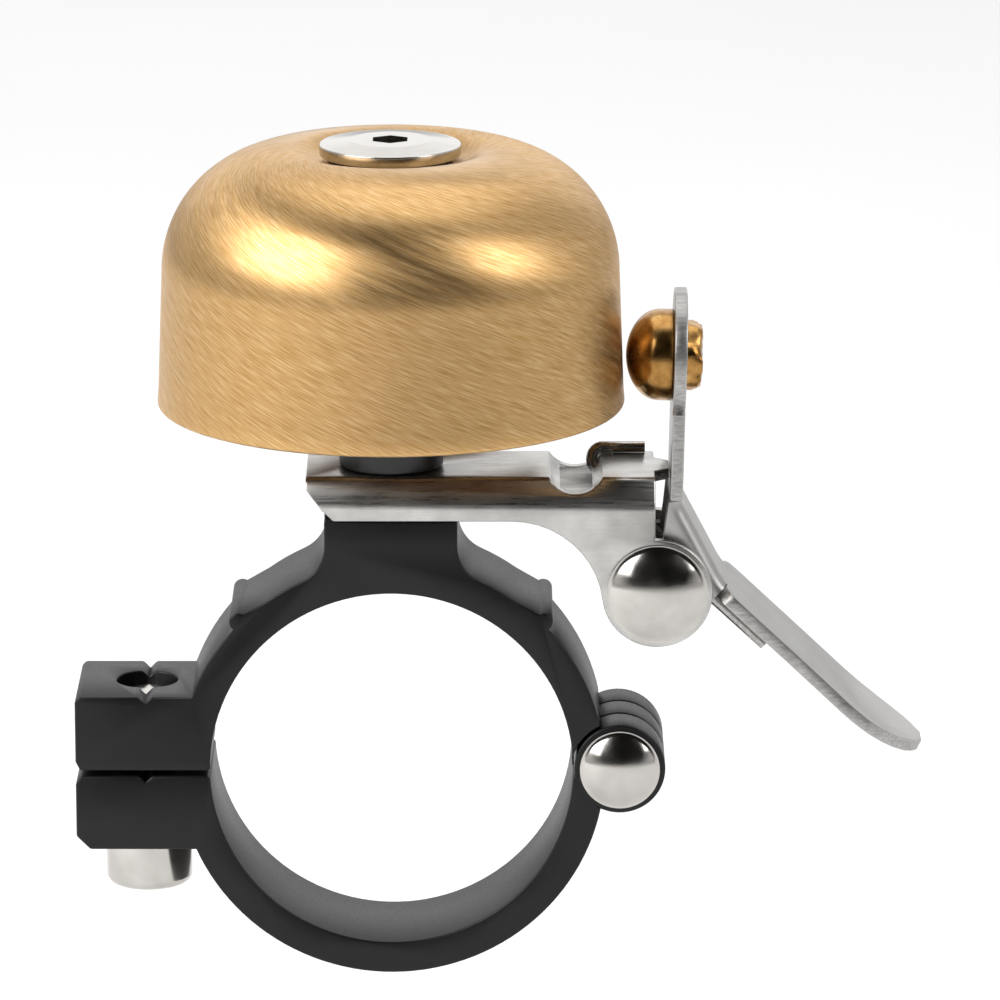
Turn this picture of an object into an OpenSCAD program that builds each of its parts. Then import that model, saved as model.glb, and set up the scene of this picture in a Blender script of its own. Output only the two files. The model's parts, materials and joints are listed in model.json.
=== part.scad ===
// Bicycle bell on a hinged handlebar clamp.
// The origin is the centre of the bar bore, +Y runs along the bar, +Z points up to the dome.

/* [Clamp] */
// Diameter of the handlebar that the clamp takes
bar_d = 31.8; // [22.2:0.1:40]
// Width of the clamp along the bar
clamp_w = 12; // [10:0.5:18]
// Wall of the clamp ring
clamp_wall = 2.8; // [2:0.1:4]
// Gap between the two ears when the clamp is shut
ear_gap = 0.5; // [0.3:0.1:2]
// Height of each ear along the screw
ear_h = 6.7; // [5:0.1:9]
// Thread diameter of the clamp screw at mid-thread
clamp_screw_d = 4.4; // [3:0.1:5.5]

/* [Dome] */
// Outer diameter of the dome at its rim
dome_d = 40.8; // [32:0.1:50]
// Height of the dome from its rim to its crown
dome_h = 22.6; // [18:0.1:30]
// Wall of the dome
dome_wall = 1.6; // [1:0.1:2.4]
// Height of the dome's rim above the bracket's plate
rim_lift = 5.6; // [4:0.1:9]
// Thread diameter of the dome screw at mid-thread
dome_screw_d = 4.4; // [3:0.1:6]

/* [Bracket] */
// Thickness of the folded bracket sheet
sheet_t = 1.0; // [0.6:0.1:1.6]
// Height of the pedestal's shoulders above the bar
pedestal_h = 6.5; // [5:0.1:10]
// Drop of the pivot below the bracket's top face
pivot_drop = 10.2; // [9:0.1:14]

/* [Lever] */
// Thickness of the stamped lever sheet
lever_t = 1.1; // [0.8:0.1:1.6]
// Diameter of the pivot rivet's shank
rivet_d = 3.0; // [2:0.1:3.6]
// Diameter of the spring wire
wire_d = 1.0; // [0.6:0.1:1.2]
// Gap between the striker's nose and the dome
strike_gap = 0.25; // [0.1:0.05:1.5]

/* [Hidden] */
$fn = 64;

// Fits
fixed_fit = 0.02;    // radial, between pieces that are fastened together
running_fit = 0.05;  // radial, between a pin and what turns on it
side_gap = 0.35;     // between a lever flange and a bracket ear
seat_gap = 0.02;     // between faces of different bodies that touch
cut = 1;             // overrun of a cutting shape past a face
far = 60;            // past every face of the clamp

// Clamp
bar_r = bar_d / 2;
ring_r = bar_r + clamp_wall;
split_z = -0.4;                      // height of the split between the halves
hinge_x = bar_r + 4.1;
knuckle_r = 4.0;
knuckle_gap = 0.2;                   // between neighbouring knuckles
knuckle_w = (clamp_w - 2 * knuckle_gap) / 3;
hinge_swing_gap = 0.25;              // around a knuckle that turns in a cut-out
hinge_pin_r = 1.5;
hinge_head_r = 3.5;
hinge_head_h = 1.3;
ear_reach = 11.8;                    // of an ear past the bore
ear_x = -(bar_r + ear_reach);
clamp_screw_x = -(bar_r + 5.7);
thread_swing_gap = 0.5;              // lets the shut screw swing out of the upper ear
clamp_head_r = 3.8;
clamp_head_h = 4.6;
clamp_hex_af = 4;
clamp_screw_tip = 0.9;               // below the upper ear's top face
drill_groove = 0.6;                  // depth of the drilling groove on an ear
pedestal_w = 11.6;
pedestal_fillet = 3.5;
shoulder_z = bar_r + pedestal_h;
shoulder_nub_r = 0.8;
shoulder_nub_a = 45;                 // of the grip nubs, from the horizontal

// Bracket: a channel of folded sheet with an ear on each side
channel_w = clamp_w;                 // over the ears
band_out = 1.0;                      // how far each slanted band leans out
band_drop = 2.4;
lip_drop = 3.7;
plate_z = shoulder_z + lip_drop;     // top face
band_a = atan(band_out / band_drop);
plate_left = -7.4;
flange_left = -6.0;
lobe_r = 4.8;                        // of each ear around the rivet
arch_r = 8;                          // of the hollow under the plate
stop_w = 3;                          // of the lever's stop at its tip
stop_root_w = 5;

// Dome
dome_r = dome_d / 2;
rim_z = plate_z + rim_lift;
crown_z = rim_z + dome_h;
rim_flare = 0.5;                     // the rim stands out past the wall's top
wall_r = dome_r - rim_flare;
shoulder_r = wall_r - 9.2;
crest_r = wall_r - shoulder_r;
shoulder_c = crown_z - shoulder_r;
dish_a = 35;                         // slope of the dish around the screw
dish_out_r = 3.2;
dish_in_r = 2.9;
dish_drop = (dish_out_r + dish_in_r) * (1 - cos(dish_a));
dish_floor_z = crown_z - dish_drop;
washer_t = 0.5;
isolator_t = 1.0;
spacer_r = 4.55;
dome_head_r = 6.15;
dome_head_rim = 1.0;
dome_head_crown = 0.35;
dome_hex_af = 3;
dome_screw_deep = 6.5;               // into the pedestal

// Pivot: the lever's rivet, its sleeve and the coil on it
rivet_r = rivet_d / 2;
sleeve_wall = 0.3;
sleeve_r = rivet_r + running_fit + sleeve_wall;
coil_r = sleeve_r + 0.15 + wire_d / 2;

// Lever, placed from the dome it strikes
strike_z = rim_z + 4.2;
strike_r = dome_r - rim_flare * (strike_z - rim_z) / (shoulder_c - rim_z);
striker_len = 4.1;
striker_r = 4.0;
striker_tail_r = 3.2;
striker_tail_h = 1.6;
tenon_r = 1.5;
strip_x = strike_r + strike_gap + striker_len;    // strip's left face at the striker
strip_over_coil = 1.85;              // of the strip's foot past the coil's outer side
lean_a = 1.3;
pivot_z = plate_z - pivot_drop;
strip_foot_x = strip_x - (strike_z - plate_z) * tan(lean_a);
pivot_x = strip_foot_x - (coil_r + wire_d / 2 - strip_over_coil);
stop_x = strip_foot_x - 0.1;
plate_right = pivot_x - 0.2;
lever_w = channel_w - 2 * sheet_t - 2 * side_gap;
lobe_head_r = 5.8;
thumb_w = 12;
flange_r = 4.0;                      // of each flange around the rivet
lever_bend_r = 3;
web_a = 29;                          // turn from the strip to the web
web_l = 6.3;
knee_a = 19;                         // turn from the web to the thumb plate
knee_r = 8;
thumb_l = 14;
tip_a = 14;                          // upward curl of the thumb plate
tip_r = 28;
strip_top_z = strike_z + lobe_head_r;
strip_foot_z = plate_z - 2.2;
rivet_head_r = 4.4;
rivet_head_h = 1.5;

// Spring: a closed coil on the sleeve with one leg in the notch and one under the thumb plate
coil_room = lever_w - 2 * lever_t - wire_d - 0.3;
coil_pitch = wire_d + 0.1;
coil_turns = floor(coil_room / coil_pitch);
coil_half = coil_turns * coil_pitch / 2;
notch_r = 2.6;
notch_rise = 1.2;                    // of the notch's centre above the plate
notch_x = pivot_x - 7.1;
front_leg_a = 47;
front_leg_l = 10.6;
hook_r = 1.0;
hook_bar = 3.7;
hook_z = plate_z + seat_gap + wire_d / 2 - hook_r;
hook_x = notch_x + 2.45;
hook_y = coil_half + 0.75;           // of the back leg where it passes the plate
bar_y = hook_y + 0.7;
wire_fn = 8;

// ---- outlines ----

// points on an arc about (cx, cy), from angle a0 to a1
function arc(cx, cy, r, a0, a1, n = 8) =
    [for (i = [0:n]) let (a = a0 + (a1 - a0) * i / n) [cx + r * cos(a), cy + r * sin(a)]];

// points along a bent strip: start, heading and a list of [straight, turn, radius]
function bent(p, h, segs, i = 0, n = 6) =
    i == len(segs) ? [p] :
    let (
        s = segs[i],
        q = p + s[0] * [cos(h), sin(h)],
        side = sign(s[1]),
        c = q + side * s[2] * [-sin(h), cos(h)],
        curve = s[1] == 0 ? [] :
            [for (k = [1:n]) let (a = h + s[1] * k / n - side * 90)
                c + s[2] * [cos(a), sin(a)]],
        e = s[1] == 0 ? q : curve[n - 1]
    )
    concat([p], s[1] == 0 ? [] : concat([q], [for (k = [0:n - 2]) curve[k]]),
        bent(e, h + s[1], segs, i + 1, n));

function heading(pts, i) =
    let (a = pts[max(i - 1, 0)], b = pts[min(i + 1, len(pts) - 1)])
    (b - a) / norm(b - a);

// the points moved d to the left of their direction
function shifted(pts, d) =
    [for (i = [0:len(pts) - 1]) let (t = heading(pts, i)) pts[i] + d * [-t[1], t[0]]];

function reversed(v) = [for (i = [len(v) - 1:-1:0]) v[i]];

// a front view outline (x, z) made w deep along y, centred
module deep(w) rotate([90, 0, 0]) linear_extrude(w, center = true) children();

// a cylinder along y, from y0 to y1
module along_y(x, z, r, y0, y1)
    translate([x, y1, z]) rotate([90, 0, 0]) cylinder(r = r, h = y1 - y0);

// a shallow domed rivet head on a face at y, pointing towards side
module rivet_head(x, z, y, r, h, side) {
    ball_r = (r * r + h * h) / (2 * h);
    translate([x, y, z]) rotate([side > 0 ? -90 : 90, 0, 0])
        rotate_extrude()
            polygon(concat([[0, 0], [r, 0]],
                arc(0, h - ball_r, ball_r, acos(r / ball_r), 90, 8)));
}

module hex_socket(af, depth) cylinder(d = af / cos(30), h = depth, $fn = 6);

// ---- clamp ----

module above_split(up)
    translate([-far, up ? split_z : split_z - 2 * far]) square(2 * far);

module pedestal_outline() {
    half = pedestal_w / 2;
    fx = half + pedestal_fillet;
    fz = sqrt(pow(ring_r + pedestal_fillet, 2) - fx * fx);
    touch = [fx, fz] * ring_r / (ring_r + pedestal_fillet);
    nub = (ring_r + 0.15) * [cos(shoulder_nub_a), sin(shoulder_nub_a)];
    for (side = [0, 1]) mirror([side, 0]) {
        difference() {
            polygon([[0, bar_r], [0, shoulder_z], [half, shoulder_z], [half, fz], [fx, fz],
                touch, nub + 0.4 * [sin(shoulder_nub_a), cos(shoulder_nub_a)], nub * 0.95]);
            translate([fx, fz]) circle(pedestal_fillet);
        }
        translate(nub) circle(shoulder_nub_r, $fn = 24);
    }
}

module ear_outline(up) {
    z0 = up ? split_z + ear_gap / 2 : split_z - ear_gap / 2;
    z1 = up ? z0 + ear_h : z0 - ear_h;
    corner = 0.8;
    chamfer = up ? 0.4 : 1.2;
    dir = up ? 1 : -1;
    polygon([[ear_x + 0.4, z0], [-ring_r + 1, z0], [-ring_r + 2.2, z1], [ear_x + chamfer, z1],
        [ear_x, z1 - dir * chamfer], [ear_x, z0 + dir * corner]]);
}

// what the turning knuckles of the other half need to clear, in its slots
module knuckle_clearance(outer) {
    r = knuckle_r + hinge_swing_gap;
    edge = knuckle_w / 2 + (outer ? 0 : knuckle_gap);
    if (outer)
        for (side = [-1, 1])
            along_y(hinge_x, 0, r, min(side * edge, side * clamp_w), max(side * edge, side * clamp_w));
    else
        along_y(hinge_x, 0, r, -edge, edge);
}

module ear_cuts(up, hole_r) {
    top = up ? split_z + ear_gap / 2 + ear_h : split_z - ear_gap / 2;
    low = up ? split_z : split_z - ear_gap / 2 - ear_h;
    translate([clamp_screw_x, 0, low - cut]) cylinder(r = hole_r, h = top - low + 2 * cut);
    translate([clamp_screw_x, 0, top]) rotate([0, 45, 0])
        cube([drill_groove * sqrt(2), clamp_w + cut, drill_groove * sqrt(2)], center = true);
}

module clamp_upper() color("#1b1b1d") {
    difference() {
        deep(clamp_w) difference() {
            union() {
                intersection() {
                    circle(ring_r, $fn = 128);
                    translate([0, ear_gap / 2]) above_split(true);
                }
                pedestal_outline();
                ear_outline(true);
            }
            circle(bar_r, $fn = 128);
        }
        knuckle_clearance(true);
        along_y(hinge_x, 0, hinge_pin_r + running_fit, -clamp_w, clamp_w);
        ear_cuts(true, clamp_screw_d / 2 + thread_swing_gap);
        translate([0, 0, shoulder_z - dome_screw_deep])
            cylinder(d = dome_screw_d + 2 * fixed_fit, h = dome_screw_deep + cut);
    }
    middle_knuckle();
    boss();
}

// the upper half's knuckle, whole below the split as well
module middle_knuckle()
    difference() {
        deep(knuckle_w) translate([hinge_x, 0]) difference() {
            circle(knuckle_r);
            circle(hinge_pin_r + running_fit);
        }
        along_y(0, 0, bar_r, -clamp_w, clamp_w);
    }

// fills the bracket's channel and carries its plate
module boss() {
    half = channel_w / 2 - band_out - sheet_t * tan((90 - band_a) / 2) - 0.1;
    difference() {
        translate([-pedestal_w / 2, -half, shoulder_z])
            cube([pedestal_w, 2 * half, plate_z - sheet_t - shoulder_z]);
        translate([0, 0, shoulder_z - cut])
            cylinder(d = dome_screw_d + 2 * fixed_fit, h = lip_drop + 2 * cut);
    }
}

module clamp_lower() color("#1b1b1d") {
    difference() {
        deep(clamp_w) difference() {
            union() {
                intersection() {
                    circle(ring_r, $fn = 128);
                    translate([0, -ear_gap / 2]) above_split(false);
                }
                ear_outline(false);
            }
            circle(bar_r, $fn = 128);
        }
        knuckle_clearance(false);
        along_y(hinge_x, 0, hinge_pin_r + fixed_fit, -clamp_w, clamp_w);
        ear_cuts(false, clamp_screw_d / 2 + running_fit);
    }
    for (side = [-1, 1]) outer_knuckle(side);
}

module outer_knuckle(side)
    translate([0, side * (clamp_w - knuckle_w) / 2, 0])
        difference() {
            deep(knuckle_w) translate([hinge_x, 0]) difference() {
                circle(knuckle_r);
                circle(hinge_pin_r + fixed_fit);
            }
            along_y(0, 0, bar_r, -clamp_w, clamp_w);
        }

module clamp_hinge_rivet() color("#c9c9c6") {
    along_y(hinge_x, 0, hinge_pin_r, -clamp_w / 2, clamp_w / 2);
    rivet_head(hinge_x, 0, -clamp_w / 2, hinge_head_r, hinge_head_h, -1);
    rivet_head(hinge_x, 0, clamp_w / 2, hinge_head_r - 0.8, hinge_head_h - 0.3, 1);
}

module clamp_screw() color("#c9c9c6") {
    seat = split_z - ear_gap / 2 - ear_h - seat_gap;
    tip = split_z + ear_gap / 2 + ear_h - clamp_screw_tip;
    edge = 0.8;
    difference() {
        translate([clamp_screw_x, 0, 0]) union() {
            translate([0, 0, seat]) cylinder(d = clamp_screw_d, h = tip - seat);
            translate([0, 0, seat - clamp_head_h]) rotate_extrude()
                polygon(concat([[0, 0]], arc(clamp_head_r - edge, edge, edge, -90, 0, 4),
                    [[clamp_head_r, clamp_head_h], [0, clamp_head_h]]));
        }
        translate([clamp_screw_x, 0, seat - clamp_head_h - cut]) hex_socket(clamp_hex_af, 2.5 + cut);
    }
}

// ---- bracket ----

// half of the channel's section (y, z), outer face first, with legs down to z
function section_outer(z) = [
    [0, plate_z], [channel_w / 2 - band_out, plate_z],
    [channel_w / 2, plate_z - band_drop], [channel_w / 2, z]];
function section_inner(z) = [
    [channel_w / 2 - sheet_t, z],
    [channel_w / 2 - sheet_t, plate_z - band_drop - sheet_t * tan(band_a / 2)],
    [channel_w / 2 - band_out - sheet_t * tan((90 - band_a) / 2), plate_z - sheet_t],
    [0, plate_z - sheet_t]];

module channel_section(z)
    for (side = [0, 1]) mirror([side, 0])
        polygon(concat(section_outer(z), section_inner(z)));

// the bracket's side outline (x, z) before the notch
module bracket_outline() {
    arch_z = shoulder_z - arch_r;
    rise = pivot_z - arch_z;
    run = sqrt(pow(arch_r + lobe_r, 2) - rise * rise);
    polygon(concat(
        [[plate_left, plate_z + cut], [plate_left, plate_z - sheet_t], [flange_left, shoulder_z + 1],
         [flange_left + 1, shoulder_z]],
        arc(pivot_x - run, arch_z, arch_r, 90, atan2(rise, run), 10),
        [[pivot_x, pivot_z], [plate_right, pivot_z], [plate_right, plate_z + cut]]));
    translate([pivot_x, pivot_z]) circle(lobe_r);
}

module bracket() color("#bcbcba") {
    difference() {
        intersection() {
            translate([plate_left - cut, 0, 0]) rotate([90, 0, 90])
                linear_extrude(pivot_x + lobe_r - plate_left + 2 * cut)
                    channel_section(pivot_z - lobe_r - cut);
            deep(channel_w + cut) bracket_outline();
        }
        along_y(notch_x, plate_z + notch_rise, notch_r, -channel_w, channel_w);
        along_y(pivot_x, pivot_z, rivet_r + fixed_fit, -channel_w, channel_w);
        translate([0, 0, plate_z - sheet_t - cut])
            cylinder(d = dome_screw_d + 0.6, h = sheet_t + 2 * cut);
        spring_slot();
    }
    translate([0, 0, plate_z - sheet_t]) linear_extrude(sheet_t)
        polygon([[plate_right - cut, -stop_root_w / 2], [plate_right, -stop_root_w / 2],
            [stop_x, -stop_w / 2], [stop_x, stop_w / 2], [plate_right, stop_root_w / 2],
            [plate_right - cut, stop_root_w / 2]]);
}

// lets the spring's back leg up through the plate beside the notch
module spring_slot()
    translate([notch_x, hook_y - wire_d / 2 - 0.2, plate_z - sheet_t - cut])
        cube([hook_x + 0.8 - notch_x, wire_d + 0.6, sheet_t + 2 * cut]);

// ---- dome ----

function dish(t) = concat(
    arc(crest_r, crown_z - dish_out_r, dish_out_r - t, 90, 90 + dish_a, 5),
    arc(crest_r - (dish_out_r + dish_in_r) * sin(dish_a), dish_floor_z + dish_in_r,
        dish_in_r + t, dish_a - 90, -90, 5));

function dome_skin(t) = concat(
    [[dome_r - t, rim_z]],
    arc(crest_r, shoulder_c, shoulder_r - t, 0, 90, 16),
    dish(t));

module dome() color("#c9a05a") {
    hole_r = dome_screw_d / 2 + 0.2;
    rotate_extrude($fn = 128)
        polygon(concat(dome_skin(0), [[hole_r, dish_floor_z], [hole_r, dish_floor_z - dome_wall]],
            reversed(dome_skin(dome_wall))));
}

module tube(r_out, r_in, z0, z1)
    translate([0, 0, z0]) difference() {
        cylinder(r = r_out, h = z1 - z0);
        translate([0, 0, -cut]) cylinder(r = r_in, h = z1 - z0 + 2 * cut);
    }

module dome_spacer() color("#161616")
    tube(spacer_r, dome_screw_d / 2 + 0.3, plate_z, dish_floor_z - dome_wall - isolator_t);

module dome_washer_lower() color("#222222")
    tube(spacer_r, dome_screw_d / 2 + 0.3, dish_floor_z - dome_wall - isolator_t,
        dish_floor_z - dome_wall);

module dome_washer_upper() color("#222222")
    tube(crest_r - (dish_out_r + dish_in_r) * sin(dish_a) - 0.3, dome_screw_d / 2 + 0.2,
        dish_floor_z, dish_floor_z + washer_t);

module dome_screw() color("#d2d2d0") {
    seat = dish_floor_z + washer_t;
    top = dome_head_rim + dome_head_crown;
    edge = 0.15;
    difference() {
        union() {
            translate([0, 0, shoulder_z - dome_screw_deep + 0.4])
                cylinder(d = dome_screw_d, h = seat - shoulder_z + dome_screw_deep - 0.4);
            translate([0, 0, seat]) rotate_extrude()
                polygon([[0, 0], [dome_head_r - edge, 0], [dome_head_r, edge],
                    [dome_head_r, dome_head_rim - edge], [dome_head_r - 0.4, dome_head_rim],
                    [dome_head_r * 0.56, top], [0, top]]);
        }
        translate([0, 0, seat - 0.6]) hex_socket(dome_hex_af, top + cut);
    }
}

// ---- lever ----

// the sheet's left and lower face, from the strip's top to the thumb plate's tip
function lever_path() =
    let (up = strip_top_z - strip_foot_z)
    bent([strip_foot_x + (strip_top_z - plate_z) * tan(lean_a), strip_top_z], -90 - lean_a,
        [[up, web_a, lever_bend_r], [web_l, knee_a, knee_r], [thumb_l, tip_a, tip_r],
         [1.5, 0, 0]]);

module lever_side()
    polygon(concat(lever_path(), reversed(shifted(lever_path(), lever_t))));

module lever() color("#c4c4c2") {
    path = lever_path();
    tip = path[len(path) - 1] + [lever_t, 0];
    difference() {
        intersection() {
            deep(thumb_w + cut) lever_side();
            union() {
                translate([pivot_x - 3, -lever_w / 2, strip_foot_z - 9.5])
                    cube([12, lever_w, 9.5 + strike_z - 3.8 - strip_foot_z]);
                translate([pivot_x, 0, strike_z]) rotate([0, 90, 0])
                    cylinder(r = lobe_head_r, h = 8);
                thumb_outline(tip[0]);
            }
        }
        on_strip() translate([0, 0, -cut])
            cylinder(r = tenon_r + fixed_fit, h = lever_t + 2 * cut);
    }
    for (side = [-1, 1]) lever_flange(side);
}

// the thumb plate seen from above, as a tall block with a round end
module thumb_outline(tip_x) {
    end_r = thumb_w / 2;
    start = pivot_x + 6.3;
    translate([0, 0, strip_foot_z - 30]) linear_extrude(30 + 7) {
        translate([start, -thumb_w / 2]) square([tip_x - start - end_r, thumb_w]);
        translate([tip_x - end_r, 0]) circle(end_r);
    }
}

// a wall between the web and the rivet, folded in from the web's edge
module lever_flange(side) {
    path = lever_path();
    top = [for (p = path) if (p[1] < strip_foot_z + 1 && p[1] > pivot_z - 2) p];
    inside = shifted(top, lever_t / 2);
    y_mid = side * (lever_w - lever_t) / 2;
    translate([0, y_mid, 0]) deep(lever_t) difference() {
        union() {
            polygon(concat([[pivot_x, pivot_z], [pivot_x + 0.6, pivot_z + flange_r]],
                inside, [[pivot_x + flange_r + 0.6, pivot_z - 2.2]]));
            translate([pivot_x, pivot_z]) circle(flange_r);
        }
        translate([pivot_x, pivot_z]) circle(rivet_r + running_fit);
    }
}

// square to the strip's left face at the striker
module on_strip() translate([strip_x, 0, strike_z]) rotate([0, 90 + lean_a, 0]) children();

module striker() color("#b98a3e")
    on_strip() {
        body = 1.2;
        translate([0, 0, -striker_len]) rotate_extrude()
            polygon(concat([[0, striker_len], [0, 0]],
                [for (i = [1:10]) let (a = 90 * i / 10)
                    [striker_r * sin(a), (striker_len - body) * (1 - cos(a))]],
                [[striker_r, striker_len]]));
        translate([0, 0, -cut]) cylinder(r = tenon_r, h = lever_t + 2 * cut);
        translate([0, 0, lever_t]) cylinder(r1 = striker_tail_r,
            r2 = striker_tail_r - 0.3, h = striker_tail_h);
    }

module lever_rivet() color("#c9c9c6") {
    along_y(pivot_x, pivot_z, rivet_r, -channel_w / 2, channel_w / 2);
    rivet_head(pivot_x, pivot_z, -channel_w / 2, rivet_head_r, rivet_head_h, -1);
    rivet_head(pivot_x, pivot_z, channel_w / 2, rivet_head_r - 1, rivet_head_h - 0.4, 1);
}

module pivot_sleeve() color("#a8a8a4") {
    half = lever_w / 2 - lever_t - 0.1;
    difference() {
        along_y(pivot_x, pivot_z, sleeve_r, -half, half);
        along_y(pivot_x, pivot_z, rivet_r + fixed_fit, -half - cut, half + cut);
    }
}

// ---- spring ----

function coil_point(a, y) = [pivot_x + coil_r * cos(a), y, pivot_z + coil_r * sin(a)];

// The back leg is straight between the coil and the hook, which curve opposite ways
function spring_path() =
    let (
        to_hook = [hook_x - pivot_x, hook_z - pivot_z],
        leg_a = atan2(to_hook[1], to_hook[0]) + asin((coil_r + hook_r) / norm(to_hook)),
        turn = 360 * coil_turns + leg_a - 90 - front_leg_a,
        steps = coil_turns * 12,
        start = coil_point(front_leg_a, -coil_half),
        leave = coil_point(leg_a - 90, coil_half),
        clear = 3.6,
        hook = arc(hook_x, hook_z, hook_r, leg_a + 90, 90, 5)
    )
    concat(
        [start + front_leg_l * [sin(front_leg_a), 0, -cos(front_leg_a)]],
        [for (i = [0:steps]) coil_point(front_leg_a + turn * i / steps,
            -coil_half + 2 * coil_half * i / steps)],
        [leave + clear * [cos(leg_a), 0, sin(leg_a)]],
        [for (i = [0:5]) [hook[i][0], hook_y + (bar_y - hook_y) * i / 5, hook[i][1]]],
        [[hook_x + hook_bar, bar_y, hook_z + hook_r]]);

function unit(v) = v / norm(v);

module swept_wire(pts, r) {
    n = len(pts);
    rings = [for (i = [0:n - 1])
        let (t = unit(pts[min(i + 1, n - 1)] - pts[max(i - 1, 0)]),
            u = unit(cross(t, [0, 1, 0.001])), v = cross(t, u))
        for (k = [0:wire_fn - 1]) let (a = 360 * k / wire_fn)
            pts[i] + r * (cos(a) * u + sin(a) * v)];
    polyhedron(rings, concat(
        [[for (k = [0:wire_fn - 1]) k]],
        [for (i = [0:n - 2]) for (k = [0:wire_fn - 1]) let (k2 = (k + 1) % wire_fn)
            [i * wire_fn + k2, i * wire_fn + k, (i + 1) * wire_fn + k, (i + 1) * wire_fn + k2]],
        [[for (k = [wire_fn - 1:-1:0]) (n - 1) * wire_fn + k]]));
}

module return_spring() color("#d8d8d6") swept_wire(spring_path(), wire_d / 2);

clamp_upper();
clamp_lower();
clamp_hinge_rivet();
clamp_screw();
bracket();
dome_spacer();
dome_washer_lower();
dome_washer_upper();
dome();
dome_screw();
lever();
striker();
lever_rivet();
pivot_sleeve();
return_spring();
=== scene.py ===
# %% [markdown]
# # A bicycle bell on a hinged handlebar clamp
# The CAD model fixes every size and place. This script gives each part the surface that the real
# one has: rolled edges, bent sheet, turned metal, wire, and finishes made from nodes. It starts by
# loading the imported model, whose frame has the bar's axis along Y and Z pointing up.

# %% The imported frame
import json
import math

import bmesh
import bpy
from mathutils import Matrix, Vector, noise


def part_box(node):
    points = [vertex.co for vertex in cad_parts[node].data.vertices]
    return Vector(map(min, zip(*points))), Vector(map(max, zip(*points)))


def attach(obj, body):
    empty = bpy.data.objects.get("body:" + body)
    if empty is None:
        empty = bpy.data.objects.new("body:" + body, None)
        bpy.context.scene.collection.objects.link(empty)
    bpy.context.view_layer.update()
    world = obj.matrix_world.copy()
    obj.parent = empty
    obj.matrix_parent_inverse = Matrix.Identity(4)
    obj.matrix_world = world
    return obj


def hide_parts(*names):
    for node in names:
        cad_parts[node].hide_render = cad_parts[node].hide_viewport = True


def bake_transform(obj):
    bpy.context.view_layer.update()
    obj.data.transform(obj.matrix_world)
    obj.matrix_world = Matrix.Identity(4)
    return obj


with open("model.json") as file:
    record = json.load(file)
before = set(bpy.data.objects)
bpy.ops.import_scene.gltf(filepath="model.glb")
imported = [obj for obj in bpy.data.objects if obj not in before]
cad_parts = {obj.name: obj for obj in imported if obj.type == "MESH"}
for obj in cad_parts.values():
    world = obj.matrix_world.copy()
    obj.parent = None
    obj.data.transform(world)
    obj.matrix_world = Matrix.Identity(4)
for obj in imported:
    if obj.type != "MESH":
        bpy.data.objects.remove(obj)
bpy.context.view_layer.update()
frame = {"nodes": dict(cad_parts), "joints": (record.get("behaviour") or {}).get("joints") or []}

MM = 0.001
SAME_POINT = 1e-7  # points nearer than this, in metres, are one

# %% [markdown]
# ## Places and sizes
# A piece goes where its CAD node is, so its place comes from that node's box or from a joint. The
# other sizes repeat the CAD's own. They are in millimetres here, and become metres in the meshes.

# %% Places read from the frame
joints = {j["name"]: j for j in frame["joints"]}
pivot_x, _, pivot_z = [v / MM for v in joints["lever_pivot"]["pos_m"]]
hinge_x = joints["clamp_hinge"]["pos_m"][0] / MM


def low(node):
    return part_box(node)[0] / MM


def high(node):
    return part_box(node)[1] / MM


rim_z, crown_z = low("dome").z, high("dome").z
dome_r = high("dome").x
plate_z = high("bracket").z
strip_top_z = high("lever").z
print("pivot", round(pivot_x, 2), round(pivot_z, 2),
      "rim", round(rim_z, 2), "crown", round(crown_z, 2))

# %% [markdown]
# ## Small tools
# A material and a Geometry Nodes tree are both made of nodes, so one function adds a node to
# either. Colours are written as sRGB hex values, the way a paint chart gives them, and shaders want
# linear light, so one function turns the first into the second.


# %% Nodes and colours
def add(tree, kind, links=None, **settings):
    """A new node. Each entry of links is a value, or the socket that feeds that input."""
    node = tree.nodes.new(kind)
    for name, value in settings.items():
        setattr(node, name, value)
    for name, value in (links or {}).items():
        if isinstance(value, bpy.types.NodeSocket):
            tree.links.new(value, node.inputs[name])
        else:
            node.inputs[name].default_value = value
    return node


def linear(colour):
    """An sRGB hex colour as linear values, with an alpha of 1."""
    parts = [int(colour[i:i + 2], 16) / 255 for i in (1, 3, 5)]
    return (*(c / 12.92 if c <= 0.04045 else ((c + 0.055) / 1.055) ** 2.4 for c in parts), 1.0)


def started(name, colour, constants):
    """A material with a Principled shader, and constants set on the shader's own sockets."""
    material = bpy.data.materials.new(name)
    material.use_nodes = True
    tree = material.node_tree
    shader = tree.nodes["Principled BSDF"]
    shader.inputs["Base Color"].default_value = linear(colour)
    for socket, value in constants.items():
        shader.inputs[socket].default_value = value
    return material, tree, shader


def ramp(tree, value, *stops):
    """A colour ramp fed by value. Each stop is a place and an sRGB hex colour."""
    node = add(tree, "ShaderNodeValToRGB", {"Fac": value})
    while len(node.color_ramp.elements) < len(stops):
        node.color_ramp.elements.new(0.5)
    for element, (place, colour) in zip(node.color_ramp.elements, stops):
        element.position = place
        element.color = linear(colour)
    return node.outputs["Color"]


# %% [markdown]
# ## Finish: brushed brass
# The dome is spun from brass sheet and then linished: a belt of about 120 grit leaves short
# straight scratches, all leaning one way round the dome. Light spreads across such scratches and
# not along them, so the highlights become slanted bands. The shader's anisotropy gives the bands,
# and a noise stretched along the scratches gives the scratches. Both follow the dome's own UV map,
# whose U runs along the scratches, so they lean the same way on every side.

# %% Brushed brass
BRUSH = "Brushing"
SCRATCH_LENGTH, SCRATCH_WIDTH = 2.6 * MM, 0.13 * MM  # real ones are 0.05 mm wide, too fine to show

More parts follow.
